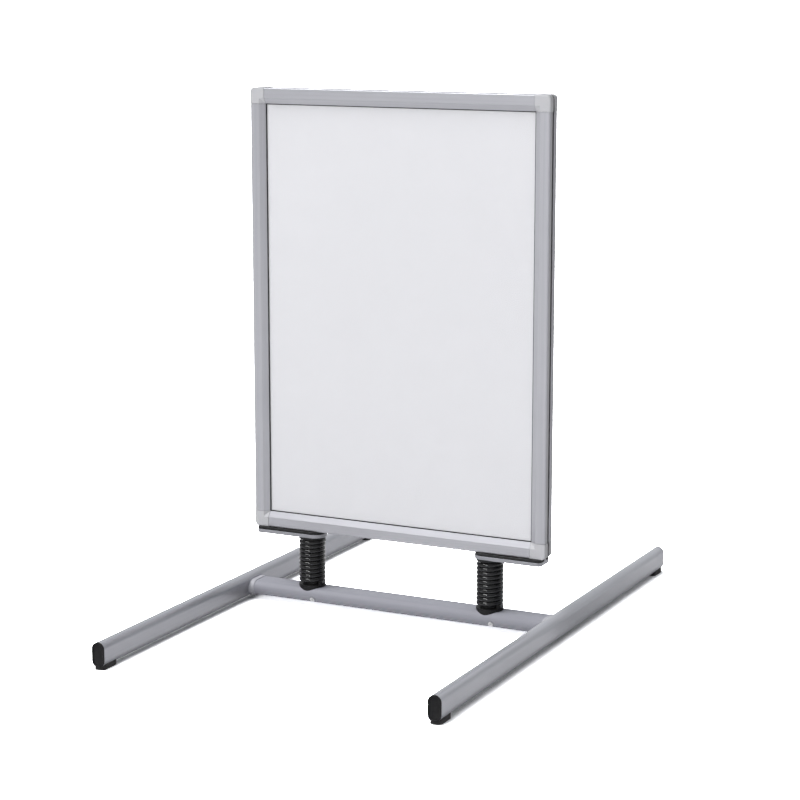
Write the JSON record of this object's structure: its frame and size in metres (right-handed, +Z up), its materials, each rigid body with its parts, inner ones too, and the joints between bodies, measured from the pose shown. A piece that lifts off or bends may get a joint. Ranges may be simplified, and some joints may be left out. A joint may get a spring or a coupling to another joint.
{
  "type": "spring sidewalk sign",
  "caption": "Free-standing pavement sign: two back-to-back snap frames on coil springs that let the panel sway, over a flat-oval tube base with rubber feet.",
  "frame": {"origin": "on the ground under the middle of the base", "axes": "X across the sign, Y from the front face to the rear, Z up"},
  "size_m": [0.712, 1.12, 1.0425],
  "materials": {
    "painted_tube": "silver-grey powder coat, satin",
    "collar_steel": "silver-grey powder coat over a weld collar",
    "black_plastic": "moulded black plastic",
    "black_rubber": "black rubber",
    "zinc_screws": "zinc plated",
    "black_cast": "black coated casting",
    "black_spring": "black powder-coated spring wire, satin gloss",
    "bracket_steel": "silver-grey powder coat",
    "raw_aluminium": "mill-finish extrusion",
    "silver_rail": "satin silver anodised extrusion",
    "corner_plastic": "silver-grey moulded plastic",
    "backing_board": "pale grey polystyrene board",
    "blank_poster": "blank pale paper",
    "clear_sheet": "clear anti-glare plastic sheet",
    "black_seal": "black strip",
    "spring_steel": "bare spring steel strip"
  },
  "bodies": {
    "base": {"left_foot": "painted_tube", "left_foot_front_cap": "black_plastic", "left_foot_front_pad": "black_rubber", "left_foot_rear_cap": "black_plastic", "left_foot_rear_pad": "black_rubber", "right_foot": "painted_tube", "right_foot_front_cap": "black_plastic", "right_foot_front_pad": "black_rubber", "right_foot_rear_cap": "black_plastic", "right_foot_rear_pad": "black_rubber", "crossbar": "painted_tube", "crossbar_collars": "collar_steel", "retaining_screws": "zinc_screws", "left_lower_plug": "black_cast", "left_spring": "black_spring", "right_lower_plug": "black_cast", "right_spring": "black_spring"},
    "sign": {"left_upper_plug": "black_cast", "left_bracket": "bracket_steel", "left_gasket": "black_rubber", "right_upper_plug": "black_cast", "right_bracket": "bracket_steel", "right_gasket": "black_rubber", "spring_bolts": "zinc_screws", "frame_bolts": "zinc_screws", "frame_spacers": "black_plastic", "front_top_base": "raw_aluminium", "front_bottom_base": "raw_aluminium", "front_bottom_rail": "silver_rail", "front_left_base": "raw_aluminium", "front_right_base": "raw_aluminium", "front_top_left_corner": "corner_plastic", "front_top_right_corner": "corner_plastic", "front_bottom_left_corner": "corner_plastic", "front_bottom_right_corner": "corner_plastic", "front_backing": "backing_board", "front_poster": "blank_poster", "front_cover_sheet": "clear_sheet", "front_seal": "black_seal", "front_snap_springs": "spring_steel", "rear_top_base": "raw_aluminium", "rear_bottom_base": "raw_aluminium", "rear_bottom_rail": "silver_rail", "rear_left_base": "raw_aluminium", "rear_right_base": "raw_aluminium", "rear_top_left_corner": "corner_plastic", "rear_top_right_corner": "corner_plastic", "rear_bottom_left_corner": "corner_plastic", "rear_bottom_right_corner": "corner_plastic", "rear_backing": "backing_board", "rear_poster": "blank_poster", "rear_cover_sheet": "clear_sheet", "rear_seal": "black_seal", "rear_snap_springs": "spring_steel"},
    "front_top_rail_body": {"front_top_rail": "silver_rail"},
    "front_left_rail_body": {"front_left_rail": "silver_rail"},
    "front_right_rail_body": {"front_right_rail": "silver_rail"},
    "rear_top_rail_body": {"rear_top_rail": "silver_rail"},
    "rear_left_rail_body": {"rear_left_rail": "silver_rail"},
    "rear_right_rail_body": {"rear_right_rail": "silver_rail"}
  },
  "joints": [
    {"name": "sway", "type": "hinge", "parent": "base", "child": "sign", "pos_m": [0, 0, 0.09325], "axis": [1, 0, 0], "range_deg": [-30, 30], "stiffness_Nm_per_rad": 170, "deforming": ["left_spring", "right_spring"]},
    {"name": "front_top_rail_hinge", "type": "hinge", "parent": "sign", "child": "front_top_rail_body", "pos_m": [0, -0.0066, 1.0394], "axis": [-1, 0, 0], "range_deg": [0, 90]},
    {"name": "front_left_rail_hinge", "type": "hinge", "parent": "sign", "child": "front_left_rail_body", "pos_m": [-0.3164, -0.0066, 0.5995], "axis": [0, 0, -1], "range_deg": [0, 90]},
    {"name": "front_right_rail_hinge", "type": "hinge", "parent": "sign", "child": "front_right_rail_body", "pos_m": [0.3164, -0.0066, 0.5995], "axis": [0, 0, 1], "range_deg": [0, 90]},
    {"name": "rear_top_rail_hinge", "type": "hinge", "parent": "sign", "child": "rear_top_rail_body", "pos_m": [0, 0.0066, 1.0394], "axis": [1, 0, 0], "range_deg": [0, 90]},
    {"name": "rear_left_rail_hinge", "type": "hinge", "parent": "sign", "child": "rear_left_rail_body", "pos_m": [-0.3164, 0.0066, 0.5995], "axis": [0, 0, 1], "range_deg": [0, 90]},
    {"name": "rear_right_rail_hinge", "type": "hinge", "parent": "sign", "child": "rear_right_rail_body", "pos_m": [0.3164, 0.0066, 0.5995], "axis": [0, 0, -1], "range_deg": [0, 90]}
  ]
}
